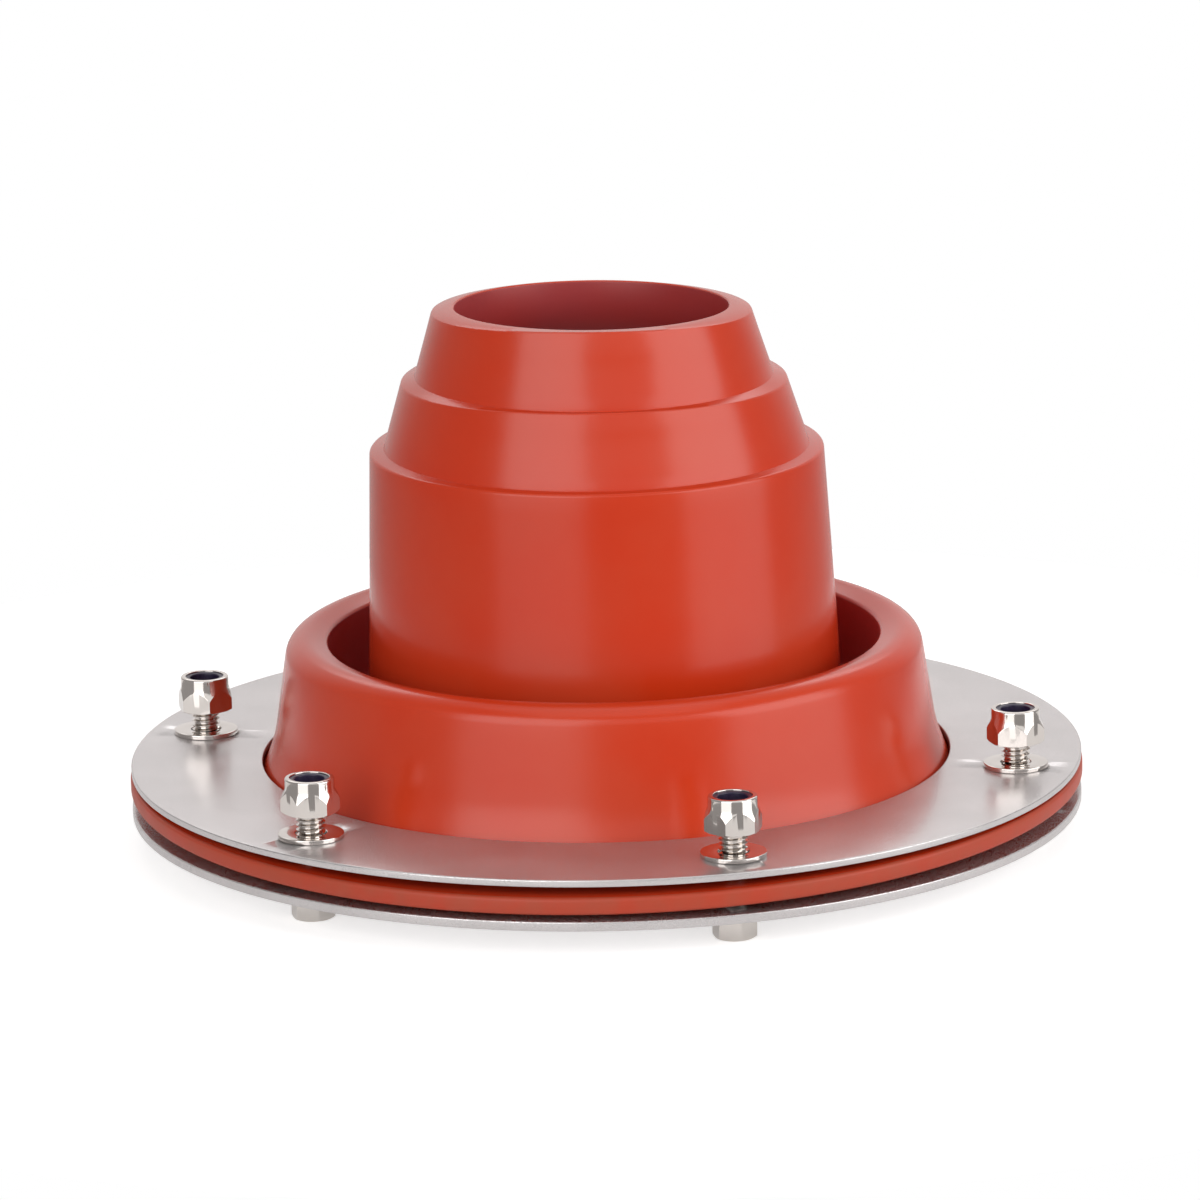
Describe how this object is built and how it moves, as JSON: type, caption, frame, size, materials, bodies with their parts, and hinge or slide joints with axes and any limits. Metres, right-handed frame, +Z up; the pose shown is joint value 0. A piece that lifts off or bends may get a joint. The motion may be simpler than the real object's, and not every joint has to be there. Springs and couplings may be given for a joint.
{
  "type": "tent stove jack",
  "caption": "Stove pipe seal for a tent wall: a stepped silicone boot whose flange is clamped between two steel rings by bolts with lock nuts.",
  "frame": {"origin": "centre of the plane that the six bolt heads stand on", "axes": "+Z up along the stove pipe, out of the tent; +X from the centre towards the first bolt"},
  "size_m": [0.2002, 0.2002, 0.1118],
  "materials": {
    "silicone": "smooth satin",
    "ring_steel": "satin rolled sheet",
    "fastener_steel": "bright machined",
    "nylon": "plain"
  },
  "bodies": {
    "root": {"silicone_boot": "silicone", "upper_ring": "ring_steel", "lower_ring": "ring_steel", "bolts": "fastener_steel", "flat_washers": "fastener_steel", "lock_nuts": "fastener_steel", "nylon_inserts": "nylon"}
  },
  "joints": []
}
